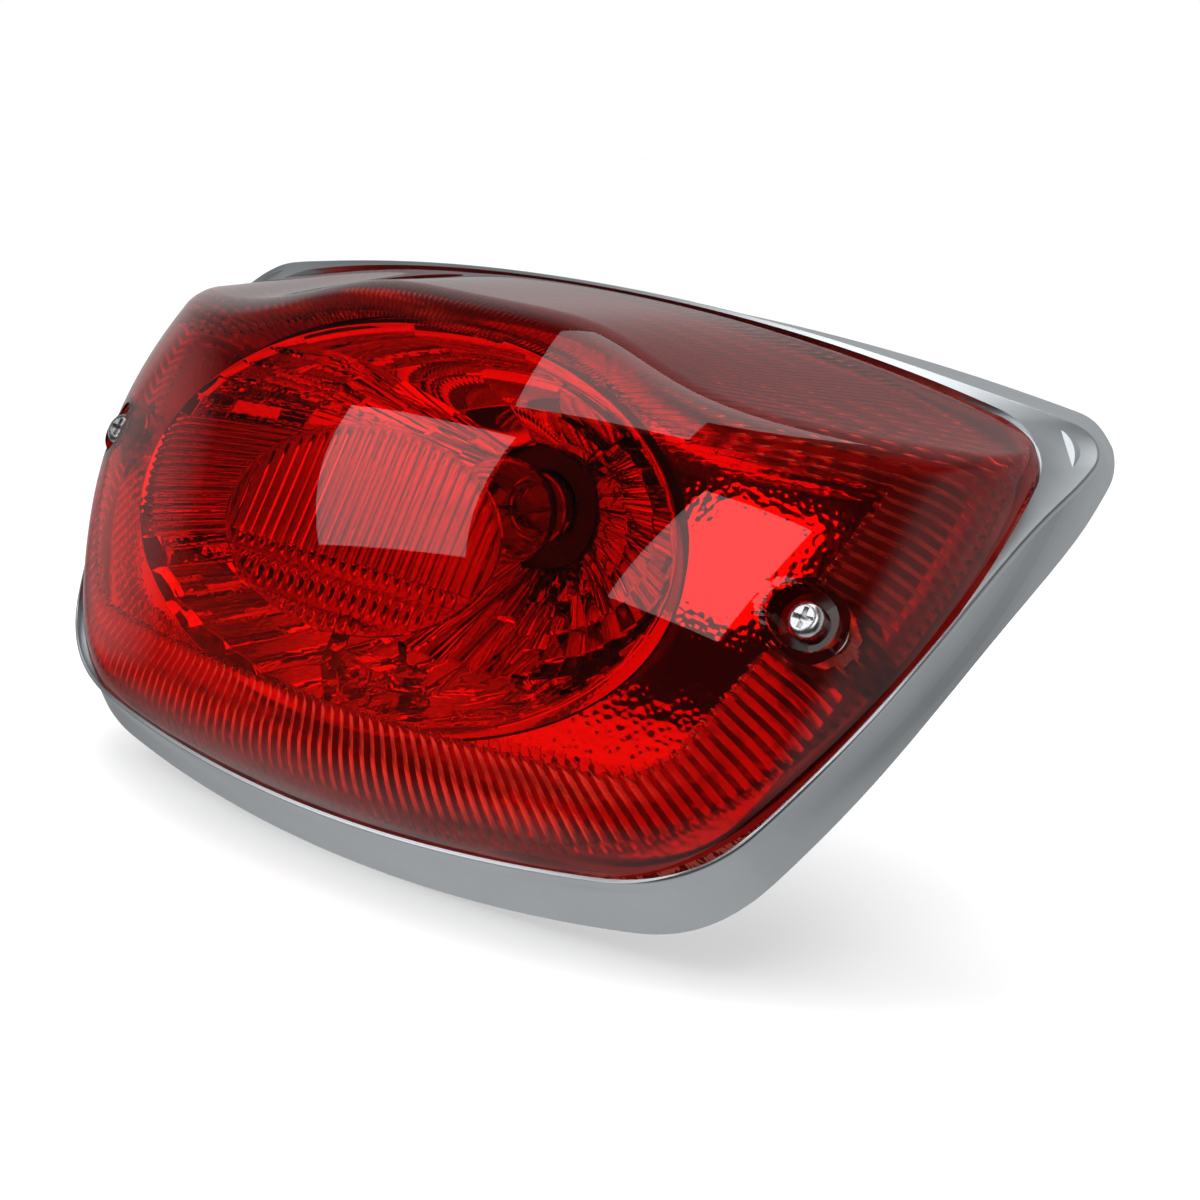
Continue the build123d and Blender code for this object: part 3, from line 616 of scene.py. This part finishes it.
def build_bezel():
    """The bezel's section, run round: its flared side, a rolled lip, the ledge under the lens and back."""
    w_front = settle(lip_w)
    rows = []
    for q in np.linspace(0, 1, 36):
        w = w_rear + (w_front - LIP_R - w_rear) * q
        rows.append((*bezel_loop(w), w))
    for turn in np.radians(np.linspace(15, 90, 6)):
        inset = LIP_R * (1 - math.cos(turn))
        rows.append((*bezel_loop(w_front - LIP_R, inset), w_front - LIP_R * (1 - math.sin(turn))))
    x, v = loop_inside(lens_radii, -0.95)
    w_inner = lip_w(x, v) - 0.15
    for q in np.linspace(0, 1, 8):
        rows.append((x, v, w_inner + (LEDGE_W - w_inner) * q))
    x, v = loop_inside(lens_radii, 4.4)
    rows.append((x, v, np.full_like(x, LEDGE_W)))
    rows.append((x, v, np.full_like(x, UNDER_W)))
    w_back = np.minimum(w_rear, UNDER_W - 0.5)
    for q in np.linspace(0, 1, 12):
        w = UNDER_W + (w_back - UNDER_W) * q
        rows.append((*bezel_loop(w, BEZEL_WALL), w))
    points = np.stack([seam_to_row(*row) for row in rows])
    piece = make_mesh("chrome_bezel_shell", points, hoop_faces(len(rows), BEZEL_POINTS))
    face_outwards(piece.data)
    piece.data.set_sharp_from_angle(angle=math.radians(35))
    return piece


bezel = build_bezel()
paint(bezel, chrome)
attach(bezel, "base")
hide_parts("chrome_bezel")

# ------------------------------------------------------------------------------------ body gasket
GASKET_IN, GASKET_OUT, GASKET_T = 3.4, 1.1, 1.55
# inset and drop of each corner of its section, behind the bezel's rear edge
GASKET_SECTION = ((GASKET_OUT, 0.02), (GASKET_OUT + 0.1, GASKET_T - 0.3), (GASKET_OUT + 0.4, GASKET_T),
                  (GASKET_IN - 0.3, GASKET_T), (GASKET_IN, GASKET_T - 0.3), (GASKET_IN, 0.02))
gasket_loops = [seam_to_row(*bezel_loop(w_rear, inset), w_rear - drop) for inset, drop in GASKET_SECTION]
seal = make_mesh("body_gasket_strip", np.stack(gasket_loops), hoop_faces(len(GASKET_SECTION), BEZEL_POINTS))
paint(seal, gasket)
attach(seal, "base")
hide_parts("body_gasket")

# ------------------------------------------------------------------------------------ facets of the bowl
RIM_A, RIM_B = 73.0, 44.5
# half width, half height, depth and lean in degrees of the bowl's rim, its middle and the bulb hole
BOWL_SECTIONS = ((RIM_A, RIM_B, 0.0, 24.0), (59.0, 36.0, 27.0, 12.0), (15.6, 15.6, 54.7, 0.0))
# from angle, to angle, cells across, rows, bulge across, bulge along, tilt, stagger
FACETS = ((-52, 50, 15, 7, 0.14, 0.14, 1.0, 0), (50, 128, 3, 5, 0.3, 0.5, 1.5, 0),
          (128, 166, 5, 5, 0.2, 0.2, 1.1, 1), (166, 206, 16, 1, 0.4, 0.1, 0.3, 0),
          (206, 284, 8, 2, 0.6, 0.6, 1.6, 1), (284, 308, 3, 7, 0.2, 0.2, 1.1, 1))
# how far each row of the thin rim stands outside the bowl's edge, and behind it
RIM_SECTION = ((1.15, 9.0), (0.75, 2.5), (0.6, 0.25), (0.35, 0.0), (0.1, 0.15))
FEELER_STEP = 6
FACET_FADE = 0.03
rng = np.random.default_rng(7)


def bowl_section(phi, t):
    """Point of the bowl: t runs from its rim, over its middle, to the bulb hole."""
    knots = (0.0, 0.5, 1.0)
    total = np.zeros(phi.shape + (3,))
    for i, (a, b, back, lean) in enumerate(BOWL_SECTIONS):
        weight = np.ones_like(t)
        for j in range(3):
            if j != i:
                weight = weight * (t - knots[j]) / (knots[i] - knots[j])
        lean = math.radians(lean)
        total += weight[..., None] * np.stack(
            [a * np.cos(phi), -AHEAD + back + b * np.sin(phi) * math.sin(lean),
             b * np.sin(phi) * math.cos(lean)], -1)
    return total


def facet_height(phi, t):
    """How far each facet stands out of the bowl, towards its axis."""
    degrees = np.degrees(phi)
    high = np.zeros_like(phi)
    for first, last, across, rows, bulge_u, bulge_v, tilt, stagger in FACETS:
        here = (degrees >= first) & (degrees < last)
        i = (degrees - first) / (last - first) * across
        column = np.floor(i).astype(int)
        j = t * rows + 0.5 * stagger * (column % 2)
        row = np.floor(j).astype(int)
        u, v = 2 * (i - column) - 1, 2 * (j - row) - 1
        lean_u = rng.uniform(-tilt, tilt, (across + 1, rows + 2))
        lean_v = rng.uniform(-tilt, tilt, (across + 1, rows + 2))
        c, r = np.clip(column, 0, across), np.clip(row, 0, rows + 1)
        shape = bulge_u * (1 - u**2) + bulge_v * (1 - v**2) + (lean_u[c, r] * u + lean_v[c, r] * v) * 0.5
        high = np.where(here, shape + tilt, high)
    edge = np.clip(t / FACET_FADE, 0, 1) * np.clip((1 - t) / FACET_FADE, 0, 1)
    return high * edge


def reach_of_bowl(bowl, axis_point, inward):
    """Distance from the axis to the CAD bowl's face, felt every few steps round each row."""
    tree = BVHTree.FromObject(nodes["reflector_bowl"], bpy.context.evaluated_depsgraph_get())
    reach = np.linalg.norm(bowl - axis_point, axis=-1)
    step = np.arange(reach.shape[1])
    felt = step[::FEELER_STEP]
    for i in range(reach.shape[0]):
        centre = Vector(axis_point[i, 0] * MM)
        for j in felt:
            hit = tree.ray_cast(centre, Vector(-inward[i, j]))
            if hit[0] is not None:
                reach[i, j] = min(reach[i, j], hit[3] / MM)
        reach[i] = np.interp(step, np.append(felt, len(step)), np.append(reach[i, felt], reach[i, 0]))
    return reach


def rim_ellipse(a, b, phis):
    """Ellipse about the bowl's axis, in the leaning plane of its rim."""
    across = (a * np.cos(phis))[:, None] * np.array([1, 0, 0])
    return across + (b * np.sin(phis))[:, None] * RING_UP + np.array([0, -AHEAD, 0])


def build_facets():
    phis = np.radians(-52 + np.arange(1080) / 3)
    grid_t, grid_phi = np.meshgrid(np.linspace(0.012, 0.985, 190), phis, indexing="ij")
    bowl = bowl_section(grid_phi, grid_t)
    axis_point = bowl.mean(1, keepdims=True)
    inward = axis_point - bowl
    inward /= np.linalg.norm(inward, axis=-1, keepdims=True)
    reach = reach_of_bowl(bowl, axis_point, inward)
    bowl = axis_point - inward * (reach - 0.1 - facet_height(grid_phi, grid_t))[..., None]
    rim = []
    for grown, sunk in RIM_SECTION:
        rim.append(rim_ellipse(RIM_A + grown, RIM_B + grown, phis) - sunk * RING_OUT)
    rows = np.concatenate([np.stack(rim), bowl])
    piece = make_mesh("reflector_facets", rows, grid_faces(len(rows), len(phis), True, True))
    piece.data.set_sharp_from_angle(angle=math.radians(40))
    return piece


facets = build_facets()
paint(facets, mirror)
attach(facets, "base")
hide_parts("reflector_bowl")

# ------------------------------------------------------------------------------------ diffuser disc
DISC_A, DISC_B, DISC_T = 37.5, 22.8, 2.4
DISC_CENTRE = np.array([0, -10.8 - AHEAD, -0.6])
RIB, RIB_HEIGHT = 3.0, 0.95
LEAF, LEAF_HEIGHT, LEAF_TOP = 7.2, 1.5, -7.6
DISC_FACE = 1.2


def disc_relief(x, v):
    """Height of the disc's face: upright ribs above, rounded leaves below, nothing at its edge."""
    rib = np.abs(((x / RIB) % 1.0) * 2 - 1)
    leaf = np.abs(np.cos(math.pi * (v + 22.0) / LEAF))
    fade = np.clip((DISC_B - np.hypot(x * DISC_B / DISC_A, v)) / 1.5, 0, 1)
    return np.where(v < LEAF_TOP, LEAF_HEIGHT * (1 - (1 - rib) ** 2) * leaf, RIB_HEIGHT * rib**1.5) * fade


def build_disc():
    s, t = np.meshgrid(np.linspace(-0.999, 0.999, 460), np.linspace(-1, 1, 120), indexing="ij")
    x, v = DISC_A * s, DISC_B * t * np.sqrt(1 - s**2)
    plane = DISC_CENTRE + x[..., None] * np.array([1, 0, 0]) + v[..., None] * RING_UP
    front = plane + (disc_relief(x, v) - DISC_FACE)[..., None] * RING_OUT
    rear = plane - DISC_T * RING_OUT
    steps, across = x.shape
    size = steps * across
    faces = grid_faces(steps, across, False) + grid_faces(steps, across, False, True, size)
    edge = [i * across for i in range(steps)] + [(steps - 1) * across + j for j in range(1, across)]
    edge += [i * across + across - 1 for i in range(steps - 2, -1, -1)] + list(range(across - 2, 0, -1))
    for i, a in enumerate(edge):
        b = edge[(i + 1) % len(edge)]
        faces.append([a, b, b + size, a + size])
    points = np.concatenate([front.reshape(-1, 3), rear.reshape(-1, 3)])
    piece = make_mesh("diffuser_disc_ribbed", points, faces)
    face_outwards(piece.data)
    piece.data.set_sharp_from_angle(angle=math.radians(30))
    return piece


disc = build_disc()
paint(disc, glass_clear)
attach(disc, "base")
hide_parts("diffuser_disc")

# ------------------------------------------------------------------------------------ contact spring
# A copy of the CAD spring's coil, carried by the holder in place of the CAD node.
coil = add_piece("contact_spring_coil", nodes["contact_spring"].data.copy())
paint(coil, spring)
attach(coil, "holder")
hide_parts("contact_spring")
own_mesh(coil)

# ------------------------------------------------------------------------------------ camera and floor
CAMERA_AT = Vector((298.47, -420.49, 85.79)) * MM
right = Vector((0.7996, 0.5841, 0.1397)).normalized()
ahead = Vector((-0.5535, 0.8070, -0.2057)).normalized()
right = (right - ahead * right.dot(ahead)).normalized()
camera = bpy.data.objects.new("camera", bpy.data.cameras.new("camera"))
bpy.context.scene.collection.objects.link(camera)
turned = Matrix((right, right.cross(ahead), -ahead)).transposed().to_4x4()
camera.matrix_world = Matrix.Translation(CAMERA_AT) @ turned
camera.data.lens = 64.5
camera.data.sensor_width = 36
camera.data.clip_start = 0.01
bpy.context.scene.camera = camera
bpy.context.scene.view_settings.view_transform = "Standard"

FLOOR_CORNERS = ((-30, -30), (30, -30), (30, 30), (-30, 30))
floor_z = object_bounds()[0][2] - 0.5 * MM
floor_mesh = bpy.data.meshes.new("floor")
floor_mesh.from_pydata([(x, y, floor_z) for x, y in FLOOR_CORNERS], [], [(0, 1, 2, 3)])
floor = add_piece("floor", floor_mesh)
floor.visible_glossy = False
paint(floor, speckled("floor", (0.9, 0.9, 0.9), (0.92, 0.92, 0.92), 0.9, 0.0, 20.0))

# ------------------------------------------------------------------------------------ studio light
# A dark studio in front, a pale wall behind and beside, and a pale table below, as the chrome and the lens
# see them. The camera itself sees white.
world = bpy.data.worlds.new("world")
world.use_nodes = True
bpy.context.scene.world = world
tree = world.node_tree
background = tree.nodes["Background"]
where = tree.nodes.new("ShaderNodeTexCoord")
split = tree.nodes.new("ShaderNodeSeparateXYZ")
tree.links.new(where.outputs["Generated"], split.inputs["Vector"])


def world_ramp(axis, low_at, high_at, low_value, high_value):
    ramp = add_node(tree, "ShaderNodeMapRange", interpolation_type="SMOOTHSTEP")
    for key, value in (("From Min", low_at), ("From Max", high_at), ("To Min", low_value),
                       ("To Max", high_value)):
        ramp.inputs[key].default_value = value
    tree.links.new(split.outputs[axis], ramp.inputs["Value"])
    return ramp.outputs["Result"]


def joined(operation, a, b):
    node = add_node(tree, "ShaderNodeMath", operation=operation)
    tree.links.new(a, node.inputs[0])
    tree.links.new(b, node.inputs[1])
    return node.outputs["Value"]


behind = world_ramp("Y", -0.02, 0.55, 0.03, 0.46)
below = world_ramp("Z", -0.8, -0.3, 0.5, 0.0)
not_ahead = world_ramp("Y", -0.35, 0.0, 0.0, 1.0)
beside = joined("MULTIPLY", world_ramp("X", 0.42, 0.8, 0.0, 0.42), not_ahead)
far_left = world_ramp("X", -0.99, -0.9, 0.4, 0.0)
glow = behind
for part in (below, beside, far_left):
    glow = joined("MAXIMUM", glow, part)
light_path = tree.nodes.new("ShaderNodeLightPath")
seen = tree.nodes.new("ShaderNodeMix")
seen.inputs["B"].default_value = 1.0
tree.links.new(light_path.outputs["Is Camera Ray"], seen.inputs["Factor"])
tree.links.new(glow, seen.inputs["A"])
tree.links.new(seen.outputs["Result"], background.inputs["Strength"])
background.inputs["Color"].default_value = (1, 1, 1, 1)

LIT_PLACE = Vector((0.03, -0.07, 0.01))
BOX_FAR, BOX_RADIANCE = 1.3, 1.9


def softbox(name, corners):
    """A rectangular light that fills these four directions, seen from the lamp."""
    a, b, c, d = [Vector(v).normalized() for v in corners]
    middle = ((a + b + c + d) / 4).normalized()
    wide, tall = (b - a + c - d) / 2, (a - d + b - c) / 2
    x_axis = (wide - middle * wide.dot(middle)).normalized()
    y_axis = middle.cross(x_axis)
    light = bpy.data.lights.new(name, "AREA")
    light.shape = "RECTANGLE"
    light.size, light.size_y = wide.length * BOX_FAR, tall.length * BOX_FAR
    light.energy = BOX_RADIANCE * math.pi * light.size * light.size_y
    lamp = bpy.data.objects.new(name, light)
    facing = Matrix((x_axis, y_axis, middle)).transposed().to_4x4()
    lamp.matrix_world = Matrix.Translation(LIT_PLACE + middle * BOX_FAR) @ facing
    bpy.context.scene.collection.objects.link(lamp)


softbox("left_box", ((-0.775, -0.284, 0.564), (-0.422, -0.437, 0.794), (-0.258, -0.89, 0.375),
                     (-0.648, -0.725, 0.231)))
softbox("right_box", ((-0.014, -0.512, 0.859), (0.414, -0.479, 0.774), (0.516, -0.818, 0.256),
                      (0.084, -0.92, 0.383)))
softbox("top_box", ((-0.46, 0.45, 0.77), (-0.02, 0.45, 0.88), (-0.027, -0.43, 0.892),
                    (-0.385, -0.394, 0.835)))
# A wide light from above evens out the matt parts. It shows in no reflection and throws no shadow.
sky = bpy.data.lights.new("sky", "SUN")
sky.energy = 3.2
sky.angle = math.radians(80)
sky.use_shadow = False
sky_lamp = bpy.data.objects.new("sky", sky)
sky_lamp.visible_glossy = False
sky_lamp.visible_transmission = False
sky_lamp.rotation_euler = (math.radians(12), math.radians(-8), 0)
bpy.context.scene.collection.objects.link(sky_lamp)
